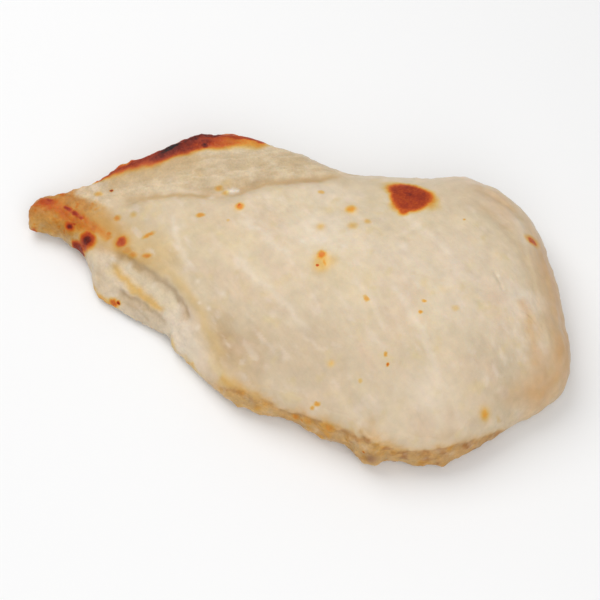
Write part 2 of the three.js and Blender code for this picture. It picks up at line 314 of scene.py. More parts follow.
def lattice(place, seed):
    """A repeatable random number from -1 to 1 for each whole-numbered place."""
    mask = np.uint64(HASH_MASK)
    x, y, z = (place * HASH_FACTORS).T
    h = ((x ^ y ^ z).astype(np.uint64) + np.uint64(seed * HASH_SEED_FACTOR)) & mask
    for shift, factor in HASH_MIXERS:
        h = ((h ^ (h >> np.uint64(shift))) * np.uint64(factor)) & mask
    return h.astype(float) / (HASH_MASK / 2) - 1


def noise(p, size, seed):
    """Smooth noise from -1 to 1 with features about size apart; size may differ by axis."""
    q = p / (np.ones(3) * size)
    base = np.floor(q).astype(np.int64)
    u = smooth(q - base)
    total = 0.0
    for corner in itertools.product((0, 1), repeat=3):
        weight = np.where(corner, u, 1 - u).prod(1)
        total = total + weight * lattice(base + corner, seed)
    return total


def layered(p, size, seed, layers=3):
    """Noise with finer and weaker layers on top."""
    size = np.ones(3) * size
    return sum(noise(p, size / 2 ** k, seed + k) / 2 ** k for k in range(layers))


class Grain(NamedTuple):
    """Noise of a strength, with features of a size in millimetres that may differ by axis."""

    strength: float
    size: object
    seed: int
    layers: int = 3

    def at(self, p):
        return self.strength * layered(p, self.size, self.seed, self.layers)


class Sway(NamedTuple):
    """Slow noise that moves points, so that what follows them isn't straight."""

    seed: int
    size: float
    by: float

    def of(self, p):
        return p + self.by * np.stack([layered(p, self.size, self.seed + k, 2) for k in range(3)], -1)


class Patches(NamedTuple):
    """Patches, from nothing where the noise is low to whole where it is high."""

    low: float
    high: float
    size: object
    seed: int
    layers: int = 3
    axes: str = "plain"

    def among(self, zones):
        return ramp(layered(zones.axes[self.axes], self.size, self.seed, self.layers), self.low, self.high)


def turned(p, degrees):
    """Points in axes turned about the vertical, so that the first runs along a direction."""
    a = math.radians(degrees)
    out = p.copy()
    out[:, 0] = p[:, 0] * math.cos(a) + p[:, 1] * math.sin(a)
    out[:, 1] = -p[:, 0] * math.sin(a) + p[:, 1] * math.cos(a)
    return out


def rows_at(rows, key):
    """The other columns of rows at key, the first, in straight steps."""
    keys, *columns = np.array(rows, float).T
    return [np.interp(key, keys, column) for column in columns]


# Where things lie on the surface

# The near side's lip: outline station, and the height at which the smooth top ends over the raw wall.
WALL_LIP = [
    (18.9, 2), (19.2, 5.5), (19.7, 8), (20.1, 9.5), (20.9, 11), (21.4, 11), (22.1, 10), (22.5, 11.5),
    (22.9, 13.4), (23.5, 13), (24.2, 11.6), (24.6, 11.7), (25.4, 10.3), (25.9, 9.4), (26.4, 10.6),
    (27.3, 10.4), (27.7, 8), (28.1, 4.5), (28.5, 1.5),
]
# Low bumps of the top: x, y, radius.
BLISTERS = [
    (3.5, 6.7, 1.5), (6.3, 4.6, 1.8), (9.4, 6.2, 1.6), (12.1, 9.6, 1.4), (5.2, 1.4, 1.7), (11, 1.2, 1.9),
    (13, 4.4, 1.3), (2.6, 3.4, 1.2), (8, 9.4, 1.3), (15.2, 12.7, 1.1), (8.6, 12.2, 1.2), (0.6, 8.6, 1.1),
]
PIT = (8.3, -3.8)
# A short crease and a scratch of the top.
DIMPLE = [(26.2, 11.9), (27.6, 11.4), (29.2, 11.4)]
SCRATCH = [(53.6, 11.4), (55.2, 10), (56.8, 8.4), (58.6, 6.4)]
# The white crumb in the flap's crease: x, y, radius.
CRUMB = [
    (-27.7, 11.6, 0.7), (-26.9, 12.3, 0.6), (-26.3, 12.1, 0.8), (-25.5, 12.9, 0.5), (-24.9, 12.5, 0.4),
]
# Pale lines along the fibres.
SINEWS = [
    [(-40, -1), (-36, -7), (-31, -13), (-27, -17)],
    [(-22, 3), (-14, 1.5), (-6, -3), (1, -6)],
    [(20, 22), (30, 17), (41, 11), (50, 3)],
    [(-18, -8), (-8, -14), (4, -19), (14, -25)],
    [(28, -2), (37, -9), (46, -17), (52, -25)],
]
SINEW_WIDTH = 1.1
# The broad end's inner fold.
END_INNER = [(38.6, 33.7), (49.6, 29), (57.5, 22.9), (65.1, 14.5), (71, 4.7), (73.5, -3)]
WALL_STAIN = (41.1, -46.8, 6.8)
# Directions that textures follow, in degrees, and how these sway.
FIBRE_ANGLE = -30
DIRECTIONS = {
    "fibre": (FIBRE_ANGLE, Sway(15, 24, 4)), "flap": (26, Sway(18, 14, 2.6)), "folds": (-28, Sway(51, 14, 2)),
    "side": (15, Sway(77, 12, 3)), "tint": (FIBRE_ANGLE, Sway(117, 20, 4)), "straight": (FIBRE_ANGLE, None),
    "plain": (0, None),
}
# Browning of the wall.
BROWN_PATCHES = Patches(0, 0.9, (2.6, 2.6, 1.8), 131, 4)
# How coarse the texture too fine for the mesh is in each zone.
COARSE = {"wall": 1, "tip": 1, "folds": 0.4, "flap": 0.6, "under": 0.5, "side": 0.3}


class Zones:
    """Where each point of the surface lies, as numbers from 0 to 1.

    Each ramp goes from where a zone begins to where it is whole: in x or y, in stations, round the edge, in
    how far up the normal looks, or past a crease, a fold or the lip.
    """

    def __init__(self, p, normal, facts):
        self.axes = {}
        for name, (degrees, sway) in DIRECTIONS.items():
            self.axes[name] = turned(sway.of(p) if sway else p, degrees)
        self.x, self.y, z = p.T
        self.station, self.inset, self.round_edge = facts.T
        x, y, station, up = self.x, self.y, self.station, normal[:, 2]
        self.under = ramp(self.round_edge, 1.1, 1.7)
        above = 1 - self.under
        self.top = ramp(up, 0.05, 0.6) * above
        self.tip = ramp(x, -56, -68)
        # Beside the flap the tip stays pale.
        untoasted = ramp(x, -74, -70.5) * ramp(y + Grain(0.6, 2.2, 15, 1).at(p), -4.4, -1.8)
        self.toasting = 1 - untoasted
        distance, _, side = near_path(FLAP_CREASE, x, y)
        self.flap = ramp(side * distance, -0.5, 2) * ramp(x, 12, 2) * above * (1 - self.tip)
        distance, _, side = near_path(LIP_FOLD, x, y)
        self.folds = ramp(-side * distance, -0.5, 1) * ramp(x, -60, -54) * ramp(x, -17, -22) * above

        # The wall, and along its upper line the rim above it, the fringe of its colour and the shade below.
        lip, = rows_at(WALL_LIP, station)
        below_lip = lip + Grain(0.7, 3.2, 11, 1).at(p) + Grain(0.6, 1.3, 12, 2).at(p) - z
        walled = ramp(station, 18.9, 19.6) * ramp(station, 28.6, 27.2)
        self.wall = ramp(below_lip, -1, 1) * walled * ramp(up, 0.95, 0.75) * ramp(self.round_edge, 1.9, 1.4)
        self.rim = bell(below_lip + 0.6, 0.8) * walled * above
        self.fringe = bell(below_lip, 1.6) * walled * above
        self.shade = bell(below_lip - 0.7, 0.8) * self.wall
        self.stain = bell(np.linalg.norm(p - WALL_STAIN, axis=1), 2) * self.wall
        self.side = (1 - self.top) * above * (1 - self.wall)
        self.skin = above * (1 - self.wall)
        self.smooth = self.top * (1 - self.flap) * (1 - self.wall) * (1 - self.folds)
        self.crisp = self.tip * self.top * self.toasting

        # The edge, the flap's wrinkles, the wall's browning and the broad end's fine folds.
        edge = ramp(self.round_edge, 0.5, 0.9) * self.skin
        self.torn_edge = edge * (1 + np.clip(self.flap + self.tip + self.folds, 0, 1))
        self.tip_edge = edge * self.tip
        self.wrinkle = 1 - np.abs(Grain(1.4, (12, 2.7, 8), 41, 4).at(self.axes["flap"]))
        self.furrows = (0.4 + 0.55 * ramp(self.wrinkle, 0.5, -0.3)) * self.flap
        self.ridges = ramp(self.wrinkle, 0.6, 1) * self.flap
        self.browned = (0.3 + 0.65 * ramp(x, 15, 60)) * BROWN_PATCHES.among(self) + 0.25 * ramp(x, 42, 60)
        self.browned = self.browned * self.wall
        self.end = ramp(station, 12.2, 13.2) * ramp(station, 18, 17) * ramp(self.inset, 11, 6)
        self.coarse = np.clip(sum(share * getattr(self, zone) for zone, share in COARSE.items()), 0, 1)


# Fine relief, in millimetres

# Textures: the zone, the direction, then the height, feature size, seed and layers.
TEXTURES = [
    ("top", "plain", 0.13, 8, 21, 3), ("smooth", "fibre", 0.09, (13, 2.6, 5), 31, 2),
    ("smooth", "fibre", 0.035, (4, 0.9, 3), 35, 1), ("smooth", "plain", 0.035, 1.7, 37, 2),
    ("flap", "plain", 0.1, 2.1, 47, 2), ("folds", "folds", 0.12, (7, 1.5, 5), 54, 3),
    ("tip", "plain", 0.2, 2.6, 61, 3), ("tip", "fibre", 0.14, (6, 1.1, 3), 64, 3),
    ("side", "side", 0.26, (11, 6, 3.4), 79, 4), ("side", "plain", 0.14, 7, 83, 3),
    ("torn_edge", "plain", 0.18, (2.6, 2.6, 12), 75, 2), ("torn_edge", "plain", 0.12, (1.3, 1.3, 6), 89, 2),
    ("tip_edge", "plain", 0.35, 4.5, 93, 3), ("wall", "plain", 0.4, (2.8, 2.8, 1.9), 71, 4),
    ("wall", "plain", 0.34, (3.4, 3.4, 30), 73, 3), ("wall", "plain", 0.16, (1.3, 1.3, 14), 74, 2),
    ("under", "plain", -0.3, 4.2, 81, 4), ("under", "fibre", -0.1, (8, 1.2, 4), 86, 1),
]
# How far zones stand out as a whole.
LEVELS = {"wall": -0.22, "rim": 0.12, "under": -0.3}
WRINKLE_HEIGHT = 0.28
BLISTER_HEIGHT = 0.14
CRUMB_HEIGHT = 0.5
# The pit with its ring, and the scratch with its banks: height, distance from the middle, half width.
PIT_PROFILE = [(-0.3, 0, 1.5), (0.12, 2.3, 0.9)]
SCRATCH_PROFILE = [(-0.2, 0, 0.45), (0.05, 0.9, 0.5)]
# Lines of the top: height, half width, path.
LINES = [
    (-0.25, 0.8, DIMPLE), *((0.07, SINEW_WIDTH, path) for path in SINEWS),
    (-0.2, 0.5, LIP_FOLD), (-0.2, 0.5, FLANGE_FOLD),
]
END_INNER_DEPTH = 0.3
END_INNER_WIDTH = 1.7
# The broad end's fine folds: height, and waves for each millimetre inward, in radians.
END_FOLD_HEIGHT = 0.07
END_FOLD_WAVES = 2.4


def profile_at(profile, distance):
    return sum(height * bell(distance - away, width) for height, away, width in profile)


def relief(p, zones):
    """How far the fine surface stands out from the form."""
    x, y = zones.x, zones.y
    out = sum(Grain(*grain).at(zones.axes[axes]) * getattr(zones, zone) for zone, axes, *grain in TEXTURES)
    out = out + sum(height * getattr(zones, zone) for zone, height in LEVELS.items())
    height = WRINKLE_HEIGHT * (0.6 + Grain(0.4, 7, 45, 1).at(p))
    out = out + height * (zones.wrinkle - 0.5) * zones.flap
    out = out - END_INNER_DEPTH * on_path(END_INNER, END_INNER_WIDTH, x, y)
    fine_folds = np.sin(END_FOLD_WAVES * zones.inset + Grain(1.6, 9, 91, 1).at(p))
    out = out + END_FOLD_HEIGHT * fine_folds * zones.end

    details = profile_at(PIT_PROFILE, np.hypot(x - PIT[0], y - PIT[1]))
    distance, share, _ = near_path(SCRATCH, x, y)
    details = details + fade_at(share) * profile_at(SCRATCH_PROFILE, distance)
    for cx, cy, radius in BLISTERS:
        details = details + BLISTER_HEIGHT * bell(np.hypot(x - cx, y - cy), radius)
    lumpy = CRUMB_HEIGHT * (1 + Grain(0.5, 0.9, 57, 2).at(p))
    for cx, cy, radius in CRUMB:
        details = details + lumpy * bell(np.hypot(x - cx, y - cy), radius)
    for height, width, path in LINES:
        details = details + height * on_path(path, width, x, y)
    return out + details * zones.top


# Colours, as they look in even light: red, green and blue from 0 to 255.

MEAT = (220, 200, 170)
WHITE = (248, 240, 228)
PALE = (234, 218, 196)
CREAM = (228, 209, 178)
SAND = (210, 188, 158)
ASHEN = (198, 179, 151)
BEIGE = (206, 182, 145)
TAN = (202, 172, 128)
STRAW = (213, 183, 130)
HONEY = (199, 151, 76)
OCHRE = (196, 128, 54)
GOLD = (233, 188, 98)
FAT_GOLD = (221, 179, 102)
# The broad end's tan: partly its own colour and partly painted shade of its rounded side.
END_TAN = (215, 170, 116)
# Painted shade for the hollow beside the lip.
HOLLOW = (187, 152, 106)
# Painted shadow for the thin dark lines in the folds' crevices.
CREVICE_SHADE = (166, 136, 98)
GREENISH = (214, 201, 168)
PINKISH = (222, 196, 167)
ROSE = (229, 210, 188)
PEACH = (226, 194, 154)
# Painted light: a lighter colour that makes up for the shade of slopes facing away from the light.
BLUSH = (240, 207, 172)
YELLOWISH = (221, 199, 153)
WALL = (212, 170, 108)
WALL_GOLD = (212, 166, 96)
WALL_BROWN = (170, 116, 64)
STAIN = (146, 104, 78)
UNDERSIDE = (207, 180, 143)
# The underside's juice, which is also the painted shade laid in the hollows.
JUICE_AND_HOLLOW_SHADE = (190, 152, 104)
# How much of that lightness the material has: the studio's light gives the rest.
LIGHTNESS = 0.9
# Soft tints: colour, strength, x, y, half length, half width, direction of the length in degrees.
TINTS = [
    # the first two: painted light, the upper middle lighter and a painted highlight near its middle
    (CREAM, 0.9, 8, 10, 24, 14, -10), (PALE, 0.8, 6, 4, 9, 7, 0), (CREAM, 0.9, 30, -6, 14, 9, 0),
    # the last: painted shade, the lower middle darker as if the light fell from above and behind
    (CREAM, 0.7, -10, -17, 13, 8, -45), (CREAM, 0.5, 42, 20, 14, 8, -20), (SAND, 0.8, 8, -27, 24, 9, -12),
    # the first: painted shade, the lower right darker in the same way
    (ASHEN, 0.55, 64, -15, 10, 7, -60), (STRAW, 0.3, 42.5, -16, 4, 3, 0), (BEIGE, 0.9, -40, 15, 20, 10, 25),
    (BEIGE, 0.9, -11, 27, 15, 7, 20), (BEIGE, 0.8, -53, -5, 8, 11, 0),
    (STRAW, 0.8, -41, -14.5, 12, 6.5, -15), (BEIGE, 0.9, -65, 2, 7, 3, 30),
    (HONEY, 0.7, -46.5, -16, 5, 2, -12), (END_TAN, 0.3, 77, -12, 4, 4, -60),
    (PALE, 0.9, 69, 7, 3.5, 11, -70), (PALE, 0.7, 58, 33, 9, 4, -45),
    (YELLOWISH, 0.4, -24, -6, 15, 10, -20), (ROSE, 0.6, 50, 4, 16, 12, -30),
    (YELLOWISH, 0.3, 14, -4, 14, 9, 0), (PEACH, 0.7, -11, -38.5, 7, 3, -25),
    # both: painted shade in the hollow beside the lip
    (HOLLOW, 0.75, -9.5, -31, 9, 3.8, -47), (HOLLOW, 0.35, -1.5, -35.5, 8, 5, -42),
    (PALE, 0.7, -16, -36.5, 8, 2.6, -30), (PALE, 0.5, 0, 20, 8, 5, 0), (ROSE, 0.5, 27, 3, 12, 8, -30),
    # the last here and the first on the next line: painted light on the far slopes
    (PALE, 0.5, 50, -28, 9, 6, -20), (CREAM, 0.5, -7, -18, 10, 7, -45), (BLUSH, 0.7, 48, 35, 8, 4, -35),
    (BLUSH, 0.5, 65, 25, 7, 4, -60), (PALE, 0.6, -24, -31, 9, 4.5, -42),
    (SAND, 0.5, -51, -22.5, 5, 3.5, -50), (ASHEN, 0.9, -38, -29, 9, 2.2, -18),
]
TINT_FALL = 1.5
# The same along paths: colour, strength, half width, path.
FAT = [(-51.7, -19.1), (-46.7, -21.9), (-41.8, -23.9), (-37.4, -25.5), (-33, -27), (-30, -27.9)]
RIB = [(-51, -17.5), (-44, -20.2), (-38, -21.8), (-31, -24.2), (-26, -27.5)]
LIP_LINE = [(-33, -18.5), (-26, -21.8), (-20, -25.5), (-14.7, -30.6), (-9.5, -36.5), (-5, -41)]
CREASE_SHADE = [(-58, -0.5), (-50, 2.2), (-43.5, 5), (-37, 7.2), (-31, 9.2)]
SECOND_CREASE = [(-44, -27.2), (-39, -28.3), (-34.5, -29.6), (-30, -31.5)]
CREASE_STRANDS = [(-53, 3.6), (-47.6, 5.6), (-42.4, 7.4), (-35, 9)]
END_FRONT = [(63, 8), (66, 5), (69.5, 0), (72.5, -5), (74.5, -10)]
FLAP_SHADE = [(-65, 2), (-60, 6), (-55, 9), (-46, 16.5), (-39, 20.5)]
FOOT_FAT = [(-8, -40.3), (-4.5, -41.8), (-1, -42.9), (3, -43.8), (8, -44.3)]
TINT_PATHS = [
    (TAN, 0.42, 2.4, END_GROOVE), (TAN, 0.35, 1.8, END_INNER), (END_TAN, 0.5, 1.8, END_FRONT),
    # the tan along the flap's crease, here and along CREASE_SHADE: painted shade in the crease
    (TAN, 0.9, 1.2, FLAP_CREASE[3:]), (TAN, 0.9, 1.2, CREASE_SHADE), (CREAM, 0.8, 0.9, CREASE_STRANDS),
    # the cream along RIB: partly the rib's pale colour, partly painted light that lifts it out of the fold's
    # shade
    (TAN, 0.9, 3.5, FLAP_SHADE), (STRAW, 0.42, 1.2, LIP_LINE), (CREAM, 0.9, 1.9, RIB),
    # the dark lines along LIP_FOLD here, and along FLANGE_FOLD and SECOND_CREASE below: painted shadow in the
    # folds' crevices
    (FAT_GOLD, 0.9, 1.1, FAT), (STRAW, 0.6, 1.5, LIP), (CREVICE_SHADE, 0.6, 0.6, LIP_FOLD),
    (CREVICE_SHADE, 0.55, 0.6, FLANGE_FOLD), (CREVICE_SHADE, 0.3, 0.5, SECOND_CREASE), (FAT_GOLD, 0.9, 1.3, FOOT_FAT),
]
SINEW_TINTS = [(PALE, 0.5, SINEW_WIDTH, path) for path in SINEWS]
# Small pale flecks and golden dots: colour, then x, y, radius of each.
FLECKS = [
    # Pale specks, and around the middle of the top near the blisters, painted glints.
    (PALE, [
        (-23.6, -18.9, 0.6), (-15.2, -20.1, 0.6), (-20.6, -24.3, 0.5), (-17.5, -24.9, 0.6),
        (-51.4, -18.5, 0.6), (-31.5, 8.5, 0.8), (-36.4, -5.6, 0.8), (-45.7, -18.8, 0.7),
        (-18.6, -30.3, 0.8), (3.8, 2.2, 1), (6, 2.2, 1.2), (0.5, 0.4, 0.9), (12.6, 2.4, 0.8),
        (-36.2, -21.9, 0.7), (28.1, 8.9, 1), (2.3, 5.5, 0.9), (55.6, 10.4, 0.5),
    ]),
    (WHITE, [(-27.7, 11.6, 0.7), (-26.5, 12.2, 0.9), (-25.2, 12.8, 0.6)]),
    (STRAW, [(11.2, -2.9, 1.7)]),
    (GOLD, [
        (7.8, -2.6, 1.6), (8.3, -4, 2.3), (8.8, -5.4, 2), (3.5, 6.7, 1.3), (66.1, -25.7, 1.6),
        (22.1, -30, 0.9), (-22.1, 6.9, 1.4), (9.3, 15.4, 1.6),
    ]),
    (STRAW, [(12.1, 9.8, 1.4), (15.4, 12.9, 0.9), (-29.5, 14, 1.5)]),
]
FLECK_STRENGTH = 0.85
# Coats of colour in their order, under and then over the paths and flecks: colour, strength, zone, patches.
FIRST_COATS = [
    (GREENISH, 0.22, "skin", Patches(0, 1, (15, 7, 9), 121, 3, "tint")),
    (PINKISH, 0.6, "skin", Patches(0, 1, (13, 6, 9), 127, 3, "tint")),
    (YELLOWISH, 0.6, "skin", Patches(0.2, 1.2, 3.4, 123)),
    (ROSE, 0.6, "skin", Patches(0.2, 1.1, (4, 1.9, 3), 125, 3, "straight")),
    (BEIGE, 1, "furrows"), (TAN, 0.6, "flap", Patches(0, 1, 4.4, 129)),
    (CREAM, 0.5, "flap", Patches(0.1, 1, 3.8, 119)), (CREAM, 0.45, "ridges"), (PALE, 0.25, "folds"),
]
LAST_COATS = [
    (WALL_GOLD, 0.5, "fringe"), (WALL, 0.95, "wall"), (WALL_GOLD, 0.8, "wall", Patches(0.1, 0.8, 3.4, 133)),
    (WALL_BROWN, 1, "browned"), (SAND, 0.45, "wall", Patches(0.2, 1, 1.7, 135)),
    (WALL_BROWN, 0.6, "shade", Patches(-0.4, 0.4, 3, 139, 1)), (STAIN, 0.85, "stain"),
    # the last: painted shade in the hollows of the top and the wall
    (UNDERSIDE, 0.9, "under"), (JUICE_AND_HOLLOW_SHADE, 0.5, "under", Patches(0, 0.9, 11, 137, 4)), (JUICE_AND_HOLLOW_SHADE, 0.3, "hollows"),
    (BEIGE, 0.5, "side", Patches(-0.2, 0.8, 8, 149, 4)),
]
# The golden tip lies beyond a line through a point and square to a direction; further out it is ochre.
GOLDEN_POINT = (-58, -9.3)
GOLDEN_ACROSS = (0.51, 0.86)

# Toasting: 0 is none, then pale gold, orange, red-brown, and 1 is burnt.

# The band along the flap's rim: outline station, how far in it reaches, over how much it fades, how toasted.
BAND = [
    (2.7, 1, 1, 0), (2.95, 1.5, 1.3, 0.26), (3.2, 2.5, 2.1, 0.46), (3.55, 3.6, 2.8, 0.6),
    (4, 4.5, 3.1, 0.64), (4.4, 5.3, 3.3, 0.68), (4.65, 6.4, 3.6, 0.76), (4.85, 7.1, 4.2, 0.84),
    (5.2, 7.4, 4, 0.82), (5.45, 7.8, 3.2, 0.73), (5.8, 8.2, 2.6, 0.66), (6.1, 8.2, 2.6, 0.66),
    (6.35, 8.2, 3, 0.62), (6.55, 8.4, 3.2, 0.5), (6.75, 8.2, 3.4, 0.4), (7.05, 7.8, 3.6, 0.34),
    (7.25, 7, 3, 0.34), (7.38, 5.5, 2.5, 0.26), (7.55, 4, 2, 0),
]
# How much of the band goes on down the side.
BAND_DOWN = 0.3
# Toasted rims: first and last station, how far in, how toasted, and how far round the edge they go.
RIMS = [
    (4.65, 5.35, 3.4, 0.97, 0.9), (5.3, 6.4, 3.2, 0.8, 1), (6.3, 7.35, 3.7, 0.6, 0.7),
    (36.3, 36.7, 0.8, 0.66, 1.5), (35.9, 36.8, 0.7, 0.22, 1.5), (33.75, 34.75, 1, 0.74, 1.5),
    (31.5, 32.5, 0.7, 0.32, 1.5), (28.75, 28.9, 0.4, 0.5, 1.5), (28.6, 29.6, 0.3, 0.24, 1.5),
    (1.8, 2.1, 2.6, 0.34, 1.2),
]
# Half a rim's fading at its ends, its fading inward, and half of that round the edge.
RIM_END_FADE = 0.15
RIM_INSET_FADE = (0.5, -1.2)
RIM_ROUND_FADE = 0.3
# Toasted streaks: how toasted, half width, path.
STREAKS = [
    (0.42, 1.2, [(-73, -7), (-70.6, -7.8), (-68.4, -8.5), (-66, -9.2), (-64.2, -10)]),
    (0.32, 2.3, [(-80, -7.6), (-74, -8.2), (-70, -9.6), (-66, -11), (-58, -12.8)]),
    (0.3, 1.4, [(-66, -9.4), (-62, -10.6), (-58, -12), (-54, -13.8)]),
]
# Toasted patches: zone, then how toasted and the patches, once or more.
TOAST_PATCHES = [
    ("wall", (0.16, Patches(0.1, 0.9, 3, 187))),
    ("crisp", (0.3, Patches(-0.1, 1, 2.8, 193)), (0.3, Patches(0.1, 1, 1.3, 197, 2))),
    ("under", (0.27, Patches(-0.1, 1.1, (15, 8, 9), 191, 4, "straight"))),
]
MOST_TOAST = 1.1
# Toasted spots: x, y, half length, half width, direction in degrees, how toasted, and how soft the edge is.
SPOTS = [
    # the large patch
    (22.7, 28.1, 7.4, 3.6, -6, 0.66, 0.36), (24.3, 25.4, 5.9, 4, 41, 0.63, 0.4),
    (21, 25.2, 4.4, 3, -42, 0.6, 0.4), (23.3, 21.8, 2.6, 2, 80, 0.52, 0.5),
    (22.9, 27.6, 6, 2.4, -14, 0.76, 1),
    # the broad end's rim
    (59.8, 28.3, 2, 1.7, -10, 0.34, 0.6), (60, 28.2, 1.6, 1.2, -10, 0.5, 0.5),
    # the tip and beside it
    (-50.7, -13.4, 2.6, 2.4, 0, 0.2, 0.5), (-50.7, -13.4, 1.75, 1.75, 0, 0.52, 0.62),
    (-61.2, -15, 2.9, 2.4, -10, 0.6, 0.5), (-61.2, -15.1, 2, 1.6, -10, 0.86, 0.7),
    (-68.2, -12.5, 2, 1.3, -20, 0.5, 0.7), (-68.2, -12.5, 1.2, 0.8, -20, 0.8, 0.8),
    (-71.2, -7.6, 1.6, 0.8, -12, 0.64, 0.8), (-68.3, -8.6, 1.7, 0.8, -20, 0.62, 0.8),
    (-65.8, -9.4, 1, 0.7, 0, 0.54, 0.8), (-78.5, -7, 4, 2, 5, 0.45, 0.8),
    (-78, -6.4, 1.8, 0.8, 0, 0.56, 0.8), (-62, -11.9, 1.1, 0.9, -30, 0.3, 0.8),
    # the pit
    (7.4, -2, 1.2, 1.15, 0, 0.38, 0.6), (9.2, -4, 1, 0.4, -60, 0.24, 0.6),
    (7.6, -5.4, 0.4, 0.45, 0, 0.6, 0.6),
    # the far side of the top
    (9.1, 15.8, 1.5, 1.2, 50, 0.26, 0.6), (-1.6, 19.6, 0.9, 0.7, 0, 0.22, 0.7),
    (12.1, 9.8, 1.3, 1.1, 30, 0.12, 0.8), (15.4, 12.9, 0.9, 0.8, 0, 0.13, 0.7),
    # along the flap's crease
    (-21.9, 7.2, 1.2, 1.1, 0, 0.36, 0.6), (-22.2, 7.5, 0.6, 0.6, 0, 0.46, 0.7),
    (-30.7, 11.9, 1.1, 0.8, 20, 0.25, 0.7), (-28.4, 11.2, 1, 0.8, 0, 0.2, 0.7),
    (-31.8, 1, 1.3, 0.7, 25, 0.31, 0.6),
    # behind the tip
    (-55.2, -6.5, 1.1, 1, 0, 0.3, 0.7), (-50.9, -4.4, 0.9, 0.8, 0, 0.17, 0.8),
    (-43.4, -9.7, 1.8, 0.7, 38, 0.32, 0.6), (-41.3, -15.5, 1.3, 0.7, 12, 0.32, 0.7),
    (-45.6, -16.2, 1.3, 0.9, 0, 0.25, 0.8), (-47.8, -15.4, 1.5, 1, 0, 0.22, 0.8),
    (-55.6, -12.1, 1.1, 0.9, 0, 0.32, 0.7), (-61.1, 1.6, 0.5, 0.45, 0, 0.7, 0.7),
    (-64.4, -0.5, 1.3, 0.7, 10, 0.24, 0.7),
    # the middle, the near side and the broad end
    (24.3, -10.3, 1, 0.6, -30, 0.27, 0.6), (39.4, -4.9, 0.7, 0.45, 0, 0.27, 0.6),
    (39.7, -8.3, 0.6, 0.5, 0, 0.32, 0.6), (48.3, -3.9, 0.9, 0.8, 0, 0.13, 0.8),
    (35.4, -23.2, 0.5, 0.6, 0, 0.3, 0.6), (36.9, -25.5, 0.45, 0.45, 0, 0.5, 0.7),
    (31.5, -31.8, 0.5, 0.5, 0, 0.17, 0.7), (22.3, -40.4, 0.9, 0.5, 20, 0.28, 0.6),
    (21.3, -41.5, 0.6, 0.5, 0, 0.26, 0.6), (66.1, -25.9, 1, 1, 0, 0.22, 0.7),
    (70.1, -24, 0.8, 0.7, 0, 0.18, 0.8), (-23.1, 1.6, 0.5, 0.5, 0, 0.18, 0.8),
    (40.4, 24.2, 0.35, 0.35, 0, 0.3, 0.7),
    # the dark spot of the band
    (-41.3, 24.9, 1.5, 1.3, 20, 0.86, 0.8),
]
# The same on the edge and the wall, round: x, y, z, radius, how toasted, softness.
EDGE_SPOTS = [
    (-45.5, -27.9, 4.3, 0.7, 0.8, 0.7), (-47, -28.1, 3.4, 1.5, 0.5, 0.7), (17.1, -43.8, 8, 1.2, 0.32, 0.8),
    (18.9, -43.9, 8, 0.6, 0.3, 0.8), (21.1, -43.8, 8.8, 1.7, 0.2, 0.8), (27.4, -44, 10.4, 1.6, 0.24, 0.8),
    (38.6, -46.6, 8.6, 0.5, 0.5, 0.7),
]


def linear(colour):
    """The material's colour for one as it looks, in linear light from 0 to 1, by the sRGB curve."""
    c = np.array(colour, float) / 255
    return LIGHTNESS * np.where(c <= 0.04045, c / 12.92, ((c + 0.055) / 1.055) ** 2.4)


def tint_of(p, zones):
    """The colour of the meat under any toasting, linear."""
    x, y = zones.x, zones.y
    above = 1 - zones.under
    colour = np.tile(linear(MEAT), (len(p), 1))

    def blend(to, share):
        nonlocal colour
        colour = colour + (linear(to) - colour) * np.clip(share, 0, 1)[:, None]

    def blend_coats(coats):
        for to, strength, zone, *patchy in coats:
            share = strength * getattr(zones, zone)
            blend(to, share * patchy[0].among(zones) if patchy else share)

    def blend_paths(rows):
        path_x, path_y, _ = Sway(111, 2.5, 0.6).of(p).T
        for to, strength, width, path in rows:
            blend(to, strength * on_path(path, width, path_x, path_y) * zones.top)

    moved = Sway(101, 9, 2.5).of(p)
    for to, strength, cx, cy, half_length, half_width, degrees in TINTS:
        u, v, _ = turned(moved - (cx, cy, 0), degrees).T
        away = (u / half_length) ** 2 + (v / half_width) ** 2
        blend(to, strength * np.exp(-away ** TINT_FALL) * above)
    blend_coats(FIRST_COATS)
    blend_paths(TINT_PATHS)

    # The tan strip of the broad end, partly its own tan and partly painted shade of the side turning away
    # from the light, and the golden tip.
    shifted = zones.station + Grain(0.5, 9, 109, 2).at(p)
    strip = ramp(shifted, 12.5, 16.3) * ramp(shifted, 19.8, 17.6) * ramp(zones.round_edge, 1.3, 0.8)
    strip = strip * ramp(zones.inset + Grain(1.5, 9, 107, 1).at(p), 9.5, 2.5)
    blend(END_TAN, strip * (0.85 + Grain(0.3, 6, 113).at(p)))
    moved_x, moved_y, _ = moved.T
    ahead = GOLDEN_ACROSS[0] * (moved_x - GOLDEN_POINT[0]) + GOLDEN_ACROSS[1] * (moved_y - GOLDEN_POINT[1])
    golden = ramp(ahead, 5.5, -2) * ramp(y, -18.5, -16) * above * (0.1 + 0.9 * zones.toasting)
    blend(HONEY, golden * (0.95 - 0.4 * ramp(moved_y, -12.5, -14.5)))
    ochre = ramp(moved_x, -60, -72) * ramp(moved_y, -14, -10) * (0.75 + Grain(0.5, 3, 105).at(p))
    blend(OCHRE, ochre * golden)
    for to, places in FLECKS:
        for cx, cy, radius in places:
            blend(to, FLECK_STRENGTH * bell(np.hypot(x - cx, y - cy), radius) * zones.top)

    blend_coats(LAST_COATS)
    blend_paths(SINEW_TINTS)
    lumps = Grain(0.045, 3.6, 141).at(p)
    grain = (0.04 + 0.08 * zones.coarse) * Grain(1, 1.6, 143, 2).at(p)
    fibres = Grain(0.03, (11, 1.6, 5), 145, 2).at(zones.axes["tint"]) * (1 - zones.flap)
    return colour * (1 + lumps + grain + fibres)[:, None]


